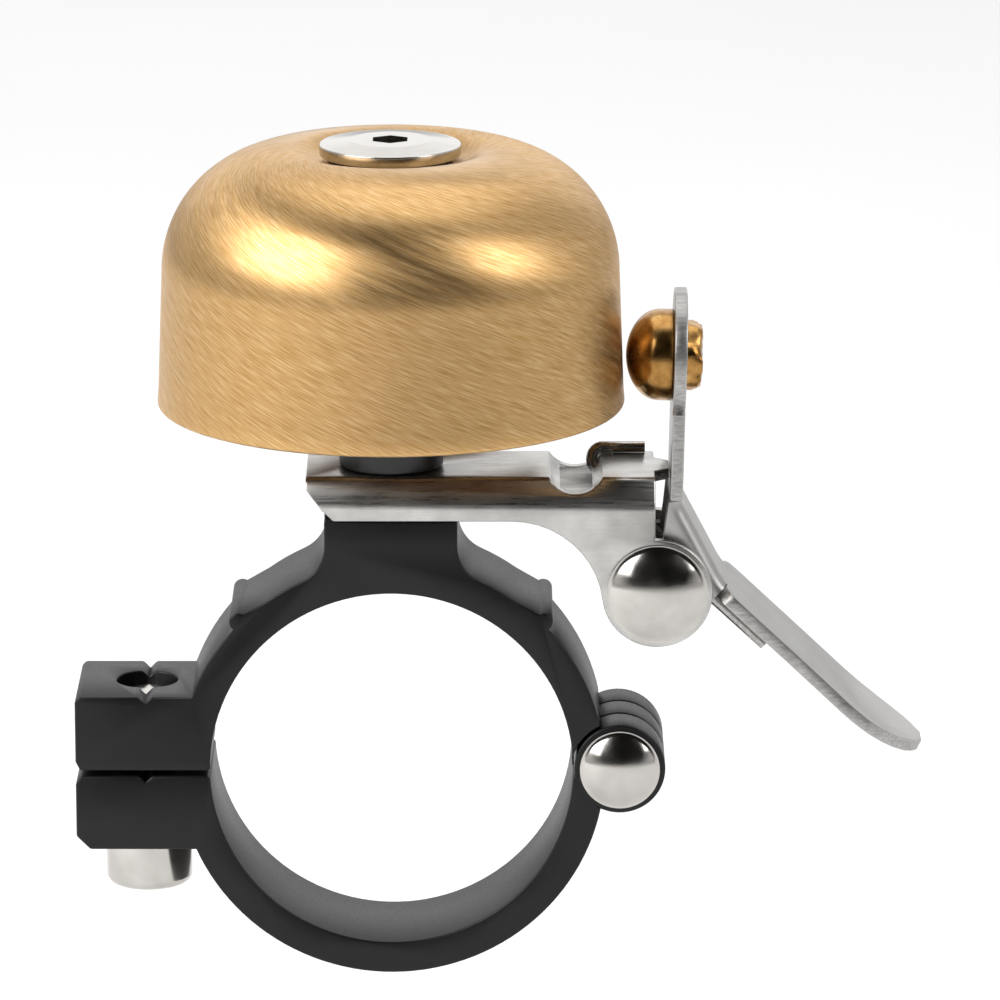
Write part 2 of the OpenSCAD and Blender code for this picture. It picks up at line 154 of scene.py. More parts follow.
brushed_brass, tree, shader = started(
    "brushed_brass", "#DDB06C", {"Metallic": 1.0, "Anisotropic": 0.72})
uv = add(tree, "ShaderNodeUVMap", uv_map=BRUSH).outputs["UV"]
stretched = add(tree, "ShaderNodeMapping", {
    "Vector": uv, "Scale": (1 / SCRATCH_LENGTH, 1 / SCRATCH_WIDTH, 1)}).outputs["Vector"]
scratches = add(tree, "ShaderNodeTexNoise", {
    "Vector": stretched, "Scale": 1.0, "Detail": 2.0, "Roughness": 0.6}).outputs["Fac"]
broad = add(tree, "ShaderNodeMapping", {
    "Vector": uv, "Scale": (0.25 / SCRATCH_LENGTH, 0.2 / SCRATCH_WIDTH, 1)}).outputs["Vector"]
bands = add(tree, "ShaderNodeTexNoise", {
    "Vector": broad, "Scale": 1.0, "Detail": 2.0}).outputs["Fac"]
tree.links.new(ramp(tree, scratches, (0.3, "#AC8650"), (0.5, "#C29C68"), (0.7, "#D4B384")),
               shader.inputs["Base Color"])
rough = add(tree, "ShaderNodeMapRange", {
    "Value": bands, "From Min": 0.3, "From Max": 0.7, "To Min": 0.30, "To Max": 0.42})
tree.links.new(rough.outputs["Result"], shader.inputs["Roughness"])
bump = add(tree, "ShaderNodeBump", {
    "Height": scratches, "Strength": 0.35, "Distance": 0.02 * MM})
tree.links.new(bump.outputs["Normal"], shader.inputs["Normal"])
tangent = add(tree, "ShaderNodeTangent", direction_type="UV_MAP", uv_map=BRUSH)
tree.links.new(tangent.outputs["Tangent"], shader.inputs["Tangent"])
print("brushed_brass:", len(tree.nodes), "nodes")

# %% [markdown]
# ## Finish: turned brass
# The striker is turned from bar on a lathe and left bare, so it is browner than the dome, glossy,
# and carries faint rings from the tool. The rings are a wave on the object's own X, which is the
# way the striker points, and a slow noise gives the tarnish.

# %% Turned brass
RING_SPACING = 0.16 * MM

turned_brass, tree, shader = started("turned_brass", "#B27A35", {"Metallic": 1.0})
place = add(tree, "ShaderNodeTexCoord").outputs["Object"]
rings = add(tree, "ShaderNodeTexWave", {
    "Vector": place, "Scale": 1 / RING_SPACING / 20, "Distortion": 0.6, "Detail": 1.0},
    wave_type="BANDS", bands_direction="X").outputs["Fac"]
tarnish = add(tree, "ShaderNodeTexNoise", {
    "Vector": place, "Scale": 1 / (1.6 * MM), "Detail": 5.0, "Roughness": 0.65}).outputs["Fac"]
tree.links.new(ramp(tree, tarnish, (0.3, "#7E5A2C"), (0.52, "#A97F48"), (0.75, "#CBA76C")),
               shader.inputs["Base Color"])
rough = add(tree, "ShaderNodeMapRange", {"Value": tarnish, "To Min": 0.14, "To Max": 0.36})
tree.links.new(rough.outputs["Result"], shader.inputs["Roughness"])
bump = add(tree, "ShaderNodeBump", {"Height": rings, "Strength": 0.25, "Distance": 0.01 * MM})
tree.links.new(bump.outputs["Normal"], shader.inputs["Normal"])
print("turned_brass:", len(tree.nodes), "nodes")

# %% [markdown]
# ## Finish: bright nickel plate
# Screws and rivets are plated in a rotating barrel and come out bright, with fine pits and short
# scratches from rubbing together. A nearly smooth metal shows its surroundings, so the roughness
# stays low and a fine noise breaks up the reflections.

# %% Bright nickel
bright_nickel, tree, shader = started("bright_nickel", "#C2BFBA", {"Metallic": 1.0})
place = add(tree, "ShaderNodeTexCoord").outputs["Object"]
pits = add(tree, "ShaderNodeTexNoise", {
    "Vector": place, "Scale": 1 / (0.22 * MM), "Detail": 3.0, "Roughness": 0.7}).outputs["Fac"]
wear = add(tree, "ShaderNodeTexNoise", {
    "Vector": place, "Scale": 1 / (1.8 * MM), "Detail": 4.0}).outputs["Fac"]
tree.links.new(ramp(tree, wear, (0.3, "#B2AEA9"), (0.7, "#BFBCB7")), shader.inputs["Base Color"])
rough = add(tree, "ShaderNodeMapRange", {
    "Value": wear, "From Min": 0.3, "From Max": 0.7, "To Min": 0.11, "To Max": 0.2})
tree.links.new(rough.outputs["Result"], shader.inputs["Roughness"])
bump = add(tree, "ShaderNodeBump", {"Height": pits, "Strength": 0.16, "Distance": 0.02 * MM})
tree.links.new(bump.outputs["Normal"], shader.inputs["Normal"])
print("bright_nickel:", len(tree.nodes), "nodes")

# %% [markdown]
# ## Finish: nickel-plated sheet
# The bracket is pressed from steel strip. Rolling leaves faint lines along the strip, which the
# plating doesn't hide, and the press leaves the bends a little brighter. The lines run along X.

# %% Plated sheet
ROLL_LENGTH, ROLL_WIDTH = 6 * MM, 0.18 * MM

plated_sheet, tree, shader = started("plated_sheet", "#C9C8C5", {"Metallic": 1.0})
place = add(tree, "ShaderNodeTexCoord").outputs["Object"]
along = add(tree, "ShaderNodeMapping", {
    "Vector": place, "Scale": (1 / ROLL_LENGTH, 1 / ROLL_WIDTH, 1 / ROLL_WIDTH)}).outputs["Vector"]
lines = add(tree, "ShaderNodeTexNoise", {
    "Vector": along, "Scale": 1.0, "Detail": 3.0, "Roughness": 0.6}).outputs["Fac"]
cloud = add(tree, "ShaderNodeTexNoise", {
    "Vector": place, "Scale": 1 / (2.5 * MM), "Detail": 4.0}).outputs["Fac"]
tree.links.new(ramp(tree, cloud, (0.3, "#A9A7A4"), (0.7, "#BFBEBB")), shader.inputs["Base Color"])
rough = add(tree, "ShaderNodeMapRange", {
    "Value": lines, "From Min": 0.3, "From Max": 0.7, "To Min": 0.24, "To Max": 0.36})
tree.links.new(rough.outputs["Result"], shader.inputs["Roughness"])
bump = add(tree, "ShaderNodeBump", {"Height": lines, "Strength": 0.14, "Distance": 0.02 * MM})
tree.links.new(bump.outputs["Normal"], shader.inputs["Normal"])
print("plated_sheet:", len(tree.nodes), "nodes")

# %% [markdown]
# ## Finish: tumbled lever steel, and its sheared edge
# The lever is stamped, tumbled in stones and plated, so its faces are a soft even grey with a fine
# grain. A press shears the outline rather than cutting it, which drags upright tears down the
# edge. Those are ridges across the sheet, so the edge gets its own material with streaks along X.

# %% Lever steel and its edge
GRAIN = 0.16 * MM
TEAR_WIDTH, TEAR_LENGTH = 0.2 * MM, 1.1 * MM

lever_steel, tree, shader = started("lever_steel", "#CBCAC8", {"Metallic": 1.0})
place = add(tree, "ShaderNodeTexCoord").outputs["Object"]
grain = add(tree, "ShaderNodeTexNoise", {
    "Vector": place, "Scale": 1 / GRAIN, "Detail": 2.0, "Roughness": 0.7}).outputs["Fac"]
cloud = add(tree, "ShaderNodeTexNoise", {
    "Vector": place, "Scale": 1 / (3 * MM), "Detail": 3.0}).outputs["Fac"]
tree.links.new(ramp(tree, cloud, (0.3, "#A4A2A0"), (0.7, "#ADACAA")), shader.inputs["Base Color"])
rough = add(tree, "ShaderNodeMapRange", {
    "Value": grain, "From Min": 0.3, "From Max": 0.7, "To Min": 0.30, "To Max": 0.42})
tree.links.new(rough.outputs["Result"], shader.inputs["Roughness"])
bump = add(tree, "ShaderNodeBump", {"Height": grain, "Strength": 0.2, "Distance": 0.015 * MM})
tree.links.new(bump.outputs["Normal"], shader.inputs["Normal"])

sheared_edge, tree, shader = started("sheared_edge", "#A9A7A4", {"Metallic": 1.0})
place = add(tree, "ShaderNodeTexCoord").outputs["Object"]
torn = add(tree, "ShaderNodeMapping", {
    "Vector": place, "Scale": (1 / TEAR_LENGTH, 1 / TEAR_WIDTH, 1 / TEAR_WIDTH)}).outputs["Vector"]
tears = add(tree, "ShaderNodeTexNoise", {
    "Vector": torn, "Scale": 1.0, "Detail": 3.0, "Roughness": 0.7}).outputs["Fac"]
tree.links.new(ramp(tree, tears, (0.32, "#8E8C8A"), (0.5, "#A3A19F"), (0.7, "#B9B8B6")),
               shader.inputs["Base Color"])
rough = add(tree, "ShaderNodeMapRange", {"Value": tears, "To Min": 0.32, "To Max": 0.5})
tree.links.new(rough.outputs["Result"], shader.inputs["Roughness"])
bump = add(tree, "ShaderNodeBump", {"Height": tears, "Strength": 0.5, "Distance": 0.04 * MM})
tree.links.new(bump.outputs["Normal"], shader.inputs["Normal"])
print("lever_steel and sheared_edge made")

# %% [markdown]
# ## Finish: black anodised aluminium
# The clamp is cut from an extrusion, bead-blasted and anodised. The finish is a dyed, clear layer
# over metal, so it is deep black face on and turns grey where the eye skims along it. Aluminium
# oxide has an IOR of about 1.77, but that made the faces too grey under the pale surroundings, so
# the shader has 1.5 and a lowered specular level. The blasting leaves a grain of about a tenth of
# a millimetre.

# %% Black anodised aluminium
BLAST_GRAIN = 0.14 * MM

black_anodised, tree, shader = started(
    "black_anodised", "#0E0E0F", {"IOR": 1.5, "Specular IOR Level": 0.3})
place = add(tree, "ShaderNodeTexCoord").outputs["Object"]
blast = add(tree, "ShaderNodeTexNoise", {
    "Vector": place, "Scale": 1 / BLAST_GRAIN, "Detail": 2.0, "Roughness": 0.65}).outputs["Fac"]
dye = add(tree, "ShaderNodeTexNoise", {
    "Vector": place, "Scale": 1 / (4 * MM), "Detail": 3.0}).outputs["Fac"]
tree.links.new(ramp(tree, dye, (0.3, "#08080A"), (0.7, "#0F0F10")), shader.inputs["Base Color"])
rough = add(tree, "ShaderNodeMapRange", {
    "Value": blast, "From Min": 0.3, "From Max": 0.7, "To Min": 0.34, "To Max": 0.48})
tree.links.new(rough.outputs["Result"], shader.inputs["Roughness"])
bump = add(tree, "ShaderNodeBump", {"Height": blast, "Strength": 0.22, "Distance": 0.02 * MM})
tree.links.new(bump.outputs["Normal"], shader.inputs["Normal"])
print("black_anodised:", len(tree.nodes), "nodes")

# %% [markdown]
# ## Finish: spring wire, black nylon and rubber
# Music wire is drawn through dies, which polishes it and leaves lines along it. The spacer is
# moulded nylon with a fine mould texture, and the washers are punched from rubber, which is duller.

# %% Spring wire, nylon and rubber
spring_wire, tree, shader = started("spring_wire", "#AEACA9", {"Metallic": 1.0})
place = add(tree, "ShaderNodeTexCoord").outputs["Object"]
drawn = add(tree, "ShaderNodeTexNoise", {
    "Vector": place, "Scale": 1 / (0.25 * MM), "Detail": 3.0}).outputs["Fac"]
tree.links.new(ramp(tree, drawn, (0.3, "#8F8D8A"), (0.7, "#B5B3B0")), shader.inputs["Base Color"])
rough = add(tree, "ShaderNodeMapRange", {"Value": drawn, "To Min": 0.14, "To Max": 0.34})
tree.links.new(rough.outputs["Result"], shader.inputs["Roughness"])


def moulded(name, dark, light, roughness, grain):
    """Black plastic or rubber: a dull base with a grain from the mould."""
    material, tree, shader = started(name, dark, {"IOR": 1.5})
    place = add(tree, "ShaderNodeTexCoord").outputs["Object"]
    texture = add(tree, "ShaderNodeTexNoise", {
        "Vector": place, "Scale": 1 / grain, "Detail": 3.0}).outputs["Fac"]
    tree.links.new(ramp(tree, texture, (0.3, dark), (0.7, light)), shader.inputs["Base Color"])
    rough = add(tree, "ShaderNodeMapRange", {
        "Value": texture, "To Min": roughness - 0.08, "To Max": roughness + 0.08})
    tree.links.new(rough.outputs["Result"], shader.inputs["Roughness"])
    bump = add(tree, "ShaderNodeBump", {
        "Height": texture, "Strength": 0.3, "Distance": 0.02 * MM})
    tree.links.new(bump.outputs["Normal"], shader.inputs["Normal"])
    return material


black_nylon = moulded("black_nylon", "#121213", "#1C1C1D", 0.42, 0.3 * MM)
black_rubber = moulded("black_rubber", "#151515", "#232323", 0.68, 0.2 * MM)
print("wire, nylon and rubber made")

# %% [markdown]
# ## Turned parts: an outline turned round an axis
# The dome, the screws, the rivets, the striker and the rings are all bodies of revolution. The
# Spin tool could make them, but a Geometry Nodes lathe serves all of them with the same few
# inputs. The outline is a chain of edges whose X is the radius and whose Z is the height. The tree
# lays a grid with one row for each outline point and one column for each facet, and moves each
# grid point to its place on the turned surface. The same two numbers, round and along, are kept as
# a UV map that leans by the brushing angle.

# %% The lathe tree
lathe = bpy.data.node_groups.new("lathe", "GeometryNodeTree")
for label, kind in (("Outline", "NodeSocketGeometry"), ("Facets", "NodeSocketInt"),
                    ("Mean radius", "NodeSocketFloat"), ("Lean", "NodeSocketFloat"),
                    ("Place", "NodeSocketVector"), ("Turn", "NodeSocketRotation"),
                    ("Finish", "NodeSocketMaterial")):
    lathe.interface.new_socket(label, in_out="INPUT", socket_type=kind)
lathe.interface.new_socket("Piece", in_out="OUTPUT", socket_type="NodeSocketGeometry")
given = add(lathe, "NodeGroupInput").outputs
chain = add(lathe, "GeometryNodeMeshToCurve", {"Mesh": given["Outline"]}).outputs["Curve"]
rows = add(lathe, "GeometryNodeAttributeDomainSize", {"Geometry": chain},
           component="CURVE").outputs["Point Count"]
columns = add(lathe, "ShaderNodeMath", {0: given["Facets"], 1: 1.0}).outputs[0]
sheet = add(lathe, "GeometryNodeMeshGrid", {
    "Size X": 1.0, "Size Y": 1.0, "Vertices X": columns, "Vertices Y": rows}).outputs["Mesh"]
index = add(lathe, "GeometryNodeInputIndex").outputs[0]
row = add(lathe, "ShaderNodeMath", {0: index, 1: rows}, operation="MODULO").outputs[0]
column = add(lathe, "ShaderNodeMath", {
    0: add(lathe, "ShaderNodeMath", {0: index, 1: rows}, operation="DIVIDE").outputs[0]},
    operation="FLOOR").outputs[0]
share = add(lathe, "ShaderNodeMath", {0: column, 1: given["Facets"]}, operation="DIVIDE").outputs[0]
angle = add(lathe, "ShaderNodeMath", {0: share, 1: math.tau}, operation="MULTIPLY").outputs[0]
point = add(lathe, "GeometryNodeSampleIndex", {
    "Geometry": chain, "Value": add(lathe, "GeometryNodeInputPosition").outputs[0], "Index": row},
    data_type="FLOAT_VECTOR").outputs[0]
far = add(lathe, "GeometryNodeSampleIndex", {
    "Geometry": chain, "Value": add(lathe, "GeometryNodeSplineParameter").outputs["Length"],
    "Index": row}, data_type="FLOAT").outputs[0]
spun = add(lathe, "ShaderNodeVectorRotate", {
    "Vector": point, "Angle": angle, "Axis": (0, 0, 1)}, rotation_type="AXIS_ANGLE").outputs[0]
moved = add(lathe, "GeometryNodeSetPosition", {"Geometry": sheet, "Position": spun}).outputs[0]
round_way = add(lathe, "ShaderNodeMath", {0: angle, 1: given["Mean radius"]},
                operation="MULTIPLY").outputs[0]
flat = add(lathe, "ShaderNodeCombineXYZ", {0: round_way, 1: far}).outputs[0]
leaned = add(lathe, "ShaderNodeVectorRotate", {
    "Vector": flat, "Angle": given["Lean"], "Axis": (0, 0, 1)},
    rotation_type="AXIS_ANGLE").outputs[0]
at_points = add(lathe, "GeometryNodeFieldOnDomain", {"Value": leaned}, domain="POINT",
                data_type="FLOAT_VECTOR").outputs[0]
mapped = add(lathe, "GeometryNodeStoreNamedAttribute", {
    "Geometry": moved, "Name": BRUSH, "Value": at_points},
    data_type="FLOAT2", domain="CORNER").outputs[0]
closed = add(lathe, "GeometryNodeMergeByDistance", {
    "Geometry": mapped, "Distance": SAME_POINT}).outputs[0]
set_down = add(lathe, "GeometryNodeTransform", {
    "Geometry": closed, "Translation": given["Place"], "Rotation": given["Turn"]}).outputs[0]
single = add(lathe, "GeometryNodeRealizeInstances", {"Geometry": set_down}).outputs[0]
finished = add(lathe, "GeometryNodeSetMaterial", {
    "Geometry": single, "Material": given["Finish"]}).outputs[0]
add(lathe, "NodeGroupOutput", {"Piece": finished})
print("lathe tree:", len(lathe.nodes), "nodes")

# %% [markdown]
# ## From a tree to a piece
# A finished piece is a plain mesh whose object stays at the origin, so the tree's result is taken
# from the evaluated object and the modifier goes. The inputs are set by identifier, because names
# aren't how a modifier stores them.


# %% Growing a piece from a tree
def grown(name, tree, start, **sizes):
    """The tree's result on the mesh start, as a plain mesh object."""
    piece = bpy.data.objects.new(name, start)
    bpy.context.scene.collection.objects.link(piece)
    modifier = piece.modifiers.new("tree", "NODES")
    modifier.node_group = tree
    for item in tree.interface.items_tree:
        if item.in_out == "INPUT" and item.name in sizes:
            modifier[item.identifier] = sizes[item.name]
    settled(piece)
    piece.data.materials.clear()
    piece.data.materials.append(sizes["Finish"])
    outward(piece)
    return piece


def outward(piece):
    """Turns every face of a closed piece outwards."""
    shape = bmesh.new()
    shape.from_mesh(piece.data)
    bmesh.ops.recalc_face_normals(shape, faces=shape.faces)
    shape.to_mesh(piece.data)
    shape.free()


def settled(piece):
    """Gives the piece its evaluated mesh and takes the modifiers off."""
    depsgraph = bpy.context.evaluated_depsgraph_get()
    mesh = bpy.data.meshes.new_from_object(
        piece.evaluated_get(depsgraph), preserve_all_data_layers=True, depsgraph=depsgraph)
    piece.modifiers.clear()
    piece.data = mesh
    mesh.name = piece.name


def outline_mesh(points):
    """A chain of edges through points, each a radius and a height in mm."""
    mesh = bpy.data.meshes.new("outline")
    mesh.from_pydata([(r * MM, 0, z * MM) for r, z in points],
                     [(i, i + 1) for i in range(len(points) - 1)], [])
    return mesh


def smoothed(piece, sharp=30):
    """Smooth shading, but for edges that turn by more than sharp degrees."""
    for face in piece.data.polygons:
        face.use_smooth = True
    piece.data.set_sharp_from_angle(angle=math.radians(sharp))


def eased(points, default=0.0, steps=5):
    """Points with their corners rounded. A point is (x, z) or (x, z, radius)."""
    made = []
    for i, point in enumerate(points):
        here = Vector(point[:2])
        radius = point[2] if len(point) > 2 else default
        if radius <= 0 or i in (0, len(points) - 1):
            made.append(tuple(here))
            continue
        back = (Vector(points[i - 1][:2]) - here).normalized()
        on = (Vector(points[i + 1][:2]) - here).normalized()
        half = back.angle(on) / 2
        if half > math.radians(89):
            made.append(tuple(here))
            continue
        reach = radius / math.tan(half)
        centre = here + (back + on).normalized() * radius / math.sin(half)
        first, last = here + back * reach - centre, here + on * reach - centre
        turn = first.angle_signed(last)
        for step in range(steps + 1):
            a = -turn * step / steps
            made.append(tuple(centre + Matrix.Rotation(a, 2) @ first))
    return made


def turned(name, points, finish, place=(0, 0, 0), turn=(0, 0, 0), facets=128, mean=10, lean=0,
           sharp=30):
    """A turned piece. place is in mm and turn in degrees."""
    piece = grown(name, lathe, outline_mesh(points), **{
        "Facets": facets, "Mean radius": mean * MM, "Lean": math.radians(lean),
        "Place": [v * MM for v in place], "Turn": [math.radians(a) for a in turn],
        "Finish": finish})
    smoothed(piece, sharp)
    print(name, len(piece.data.polygons), "faces")
    return piece


# %% [markdown]
# ## The dome
# The dome is spun over a former: a straight wall that flares half a millimetre at the rim, a round
# shoulder, and a dish that takes the screw. Its outline goes up the outside, into the dish, and
# back down the inside, with the rim's edge rounded as a spinner leaves it. Its scratches lean by
# the brushing angle.

# %% The dome's outline and mesh
DOME_WALL, RIM_FLARE = 1.6, 0.5
CREST_R, DISH_OUT_R, DISH_IN_R, DISH_SLOPE = 9.2, 3.2, 2.9, 35
HOLE_R = 2.4
BRUSH_LEAN = 24
wall_r = dome_r - RIM_FLARE
shoulder_r = wall_r - CREST_R
dish_drop = (DISH_OUT_R + DISH_IN_R) * (1 - math.cos(math.radians(DISH_SLOPE)))
dish_floor_z = crown_z - dish_drop


def arc(cx, cz, radius, start, end, steps):
    """Points on an arc about (cx, cz), with angles in degrees."""
    return [(cx + radius * math.cos(a), cz + radius * math.sin(a))
            for a in (math.radians(start + (end - start) * i / steps) for i in range(steps + 1))]


def dome_skin(inset):
    """The dome's outline from rim to dish, moved inwards by inset."""
    shoulder = arc(CREST_R, crown_z - shoulder_r, shoulder_r - inset, 0, 90, 40)
    lip = arc(CREST_R, crown_z - DISH_OUT_R, DISH_OUT_R - inset, 90, 90 + DISH_SLOPE, 10)
    foot_x = CREST_R - (DISH_OUT_R + DISH_IN_R) * math.sin(math.radians(DISH_SLOPE))
    foot = arc(foot_x, dish_floor_z + DISH_IN_R, DISH_IN_R + inset, DISH_SLOPE - 90, -90, 10)
    wall_foot = [(dome_r - inset, rim_z), (dome_r - inset - 0.12, rim_z + 1.5)]
    return wall_foot, shoulder + lip[1:] + foot


outer_foot, outer = dome_skin(0)
inner_foot, inner = dome_skin(DOME_WALL)
rim = [(dome_r - DOME_WALL / 2, rim_z), (dome_r, rim_z, 0.35), outer_foot[1]]
rim_inner = [inner_foot[1], (dome_r - DOME_WALL, rim_z, 0.35), (dome_r - DOME_WALL / 2, rim_z)]
dome = turned(
    "bell_dome",
    eased(rim) + outer + eased([outer[-1], (HOLE_R, dish_floor_z, 0.15),
                                (HOLE_R, dish_floor_z - DOME_WALL, 0.15), inner[-1]])[1:-1]
    + inner[::-1] + eased(rim_inner),
    brushed_brass, facets=192, mean=wall_r, lean=BRUSH_LEAN)
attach(dome, "root")
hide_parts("dome")

# %% [markdown]
# ## Key sockets and screw threads
# Two screws have a hexagonal socket. A Boolean with a six-sided prism cuts it as the punch does. A
# thread is a ridge that follows a helix, so a second tree sweeps a small pointed section along a
# spiral, and the shank is the turned core inside it.


# %% The cutter and the thread tree
def cut(piece, cutter):
    """Takes the cutter's volume away from the piece."""
    modifier = piece.modifiers.new("cut", "BOOLEAN")
    modifier.object, modifier.solver = cutter, "EXACT"
    settled(piece)
    bpy.data.objects.remove(cutter)


def prism(sides, across, x, y, z0, z1, axis="Z"):
    """A cutting prism whose flats are across mm apart, from z0 to z1 along its axis."""
    shape = bmesh.new()
    radius = across / 2 / math.cos(math.pi / sides)
    bmesh.ops.create_cone(shape, cap_ends=True, segments=sides, radius1=radius * MM,
                          radius2=radius * MM, depth=(z1 - z0) * MM)
    spin = Matrix.Rotation(math.radians(90), 4, "X") if axis == "Y" else Matrix.Identity(4)
    middle = (z0 + z1) / 2
    centre = Vector((x, middle, y) if axis == "Y" else (x, y, middle)) * MM
    shape.transform(Matrix.Translation(centre) @ spin)
    mesh = bpy.data.meshes.new("cutter")
    shape.to_mesh(mesh)
    shape.free()
    cutter = bpy.data.objects.new("cutter", mesh)
    bpy.context.scene.collection.objects.link(cutter)
    return cutter


thread = bpy.data.node_groups.new("thread", "GeometryNodeTree")
for label, kind in (("Core", "NodeSocketGeometry"), ("Radius", "NodeSocketFloat"),
                    ("Pitch", "NodeSocketFloat"), ("Turns", "NodeSocketFloat"),
                    ("Foot", "NodeSocketVector"), ("Finish", "NodeSocketMaterial")):
    thread.interface.new_socket(label, in_out="INPUT", socket_type=kind)
thread.interface.new_socket("Piece", in_out="OUTPUT", socket_type="NodeSocketGeometry")
given = add(thread, "NodeGroupInput").outputs
height = add(thread, "ShaderNodeMath", {0: given["Pitch"], 1: given["Turns"]},
             operation="MULTIPLY").outputs[0]
depth = add(thread, "ShaderNodeMath", {0: given["Pitch"], 1: 0.42}, operation="MULTIPLY").outputs[0]
ridge_r = add(thread, "ShaderNodeMath", {0: given["Radius"], 1: depth},
              operation="SUBTRACT").outputs[0]
helix = add(thread, "GeometryNodeCurveSpiral", {
    "Resolution": 32, "Rotations": given["Turns"], "Start Radius": ridge_r, "End Radius": ridge_r,
    "Height": height}).outputs["Curve"]
section = add(thread, "GeometryNodeCurvePrimitiveCircle", {"Resolution": 4, "Radius": depth})
ridge = add(thread, "GeometryNodeCurveToMesh", {
    "Curve": helix, "Profile Curve": section.outputs["Curve"], "Fill Caps": True}).outputs["Mesh"]
placed = add(thread, "GeometryNodeTransform", {
    "Geometry": ridge, "Translation": given["Foot"]}).outputs[0]
both = add(thread, "GeometryNodeJoinGeometry")
thread.links.new(placed, both.inputs[0])
thread.links.new(given["Core"], both.inputs[0])
single = add(thread, "GeometryNodeRealizeInstances", {"Geometry": both.outputs[0]}).outputs[0]
finished = add(thread, "GeometryNodeSetMaterial", {
    "Geometry": single, "Material": given["Finish"]}).outputs[0]
add(thread, "NodeGroupOutput", {"Piece": finished})
print("thread tree:", len(thread.nodes), "nodes")

# %% [markdown]
# ## The dome's screw
# Its wide head is turned: a bright vertical rim, a shallow cone, and a flat crown round the socket.
# The head hides everything else but the shank inside the dome.

# %% The dome's screw
HEAD_RIM, HEAD_CROWN, HEAD_FLAT = 1.0, 0.35, 3.44
SHANK_R, CORE_R, PITCH = 2.2, 1.95, 0.8
THREADED = 9  # how far the thread reaches up the shank
head_r = high("dome_screw").x
seat_z = high("dome_screw").z - HEAD_RIM - HEAD_CROWN
shank_low = low("dome_screw").z
shoulder_low = shank_low + THREADED
head_top = seat_z + HEAD_RIM + HEAD_CROWN
dome_screw = turned(
    "dome_screw_turned",
    eased([(0, shank_low), (CORE_R - 0.3, shank_low), (CORE_R, shank_low + 0.4),
           (CORE_R, shoulder_low, 0.1), (SHANK_R, shoulder_low + 0.3),
           (SHANK_R, seat_z, 0.1), (head_r, seat_z, 0.15), (head_r, seat_z + HEAD_RIM, 0.12),
           (head_r - 0.4, seat_z + HEAD_RIM + 0.02, 0.3), (HEAD_FLAT, head_top, 0.5),
           (0, head_top)]),
    bright_nickel, facets=160)
cut(dome_screw, prism(6, 3, 0, 0, seat_z - 0.6, seat_z + 3))


def ridged(piece, foot, turns, finish):
    """The piece with a helical thread on it, foot in mm."""
    name = piece.name
    mesh = piece.data
    bpy.data.objects.remove(piece)
    made = grown(name, thread, mesh, **{
        "Radius": (SHANK_R - 0.02) * MM, "Pitch": PITCH * MM, "Turns": turns,
        "Foot": [v * MM for v in foot], "Finish": finish})
    smoothed(made)
    return made


dome_screw = ridged(dome_screw, (0, 0, shank_low + 0.5), 9.5, bright_nickel)
dome_screw.name = "dome_screw_turned"
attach(dome_screw, "root")
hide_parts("dome_screw")

# %% [markdown]
# ## The stack under the dome
# A nylon spacer stands on the bracket, and a rubber washer on each side of the brass lets the dome
# ring. They are rings with their edges rounded a little, so the lathe makes them too.


# %% Spacer and washers
def ring(name, node, hole_r, edge, finish, facets=96):
    """A turned ring that fills a CAD ring's box."""
    r, z0, z1 = high(node).x, low(node).z, high(node).z
    middle = (r + hole_r) / 2
    piece = turned(name, eased([(middle, z0), (r, z0, edge), (r, z1, edge), (hole_r, z1, edge),
                                (hole_r, z0, edge), (middle, z0)]), finish, facets=facets)
    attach(piece, "root")
    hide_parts(node)
    return piece


SPACER_HOLE = 2.5
ring("dome_spacer_moulded", "dome_spacer", SPACER_HOLE, 0.3, black_nylon)
ring("dome_washer_under", "dome_washer_lower", SPACER_HOLE, 0.2, black_rubber)
ring("dome_washer_over", "dome_washer_upper", HOLE_R, 0.12, black_rubber)

# %% [markdown]
# ## Rivets
# A solid rivet has a shallow domed head from the factory and a smaller one that the setting tool
# forms. Both heads and the shank are one turned outline, laid along Y. The rim of each head has a
# small rounded edge, which is the bright ring seen round it.


# %% Rivets
RIVET_SHANK_R, JOINT_WIDTH, HEAD_EDGE = 1.5, 12, 0.22


def rivet(name, node, factory_head, set_head, x, z, body):
    """A rivet through a joint. Each head is a radius and a height."""
    half = JOINT_WIDTH / 2

    def head(r, h):
        ball = ((r - HEAD_EDGE) ** 2 + (h - HEAD_EDGE) ** 2) / (2 * (h - HEAD_EDGE))
        slope = math.degrees(math.acos((r - HEAD_EDGE) / ball))
        return [(r, 0), (r, HEAD_EDGE)] + arc(0, h - ball, ball, slope, 90, 16)

    factory = [(r, -half - z1) for r, z1 in head(*factory_head)][::-1]
    formed = [(r, half + z1) for r, z1 in head(*set_head)]
    points = factory + [(RIVET_SHANK_R, -half), (RIVET_SHANK_R, half)] + formed
    piece = turned(name, points, bright_nickel, place=(x, 0, z), turn=(-90, 0, 0), facets=96,
                   sharp=40)
    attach(piece, body)
    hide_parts(node)
    return piece


rivet("lever_rivet_turned", "lever_rivet", (4.4, 1.5), (3.4, 1.1), pivot_x, pivot_z, "root")
rivet("hinge_rivet_turned", "clamp_hinge_rivet", (3.5, 1.3), (2.7, 1.0), hinge_x, 0, "clamp_lower")

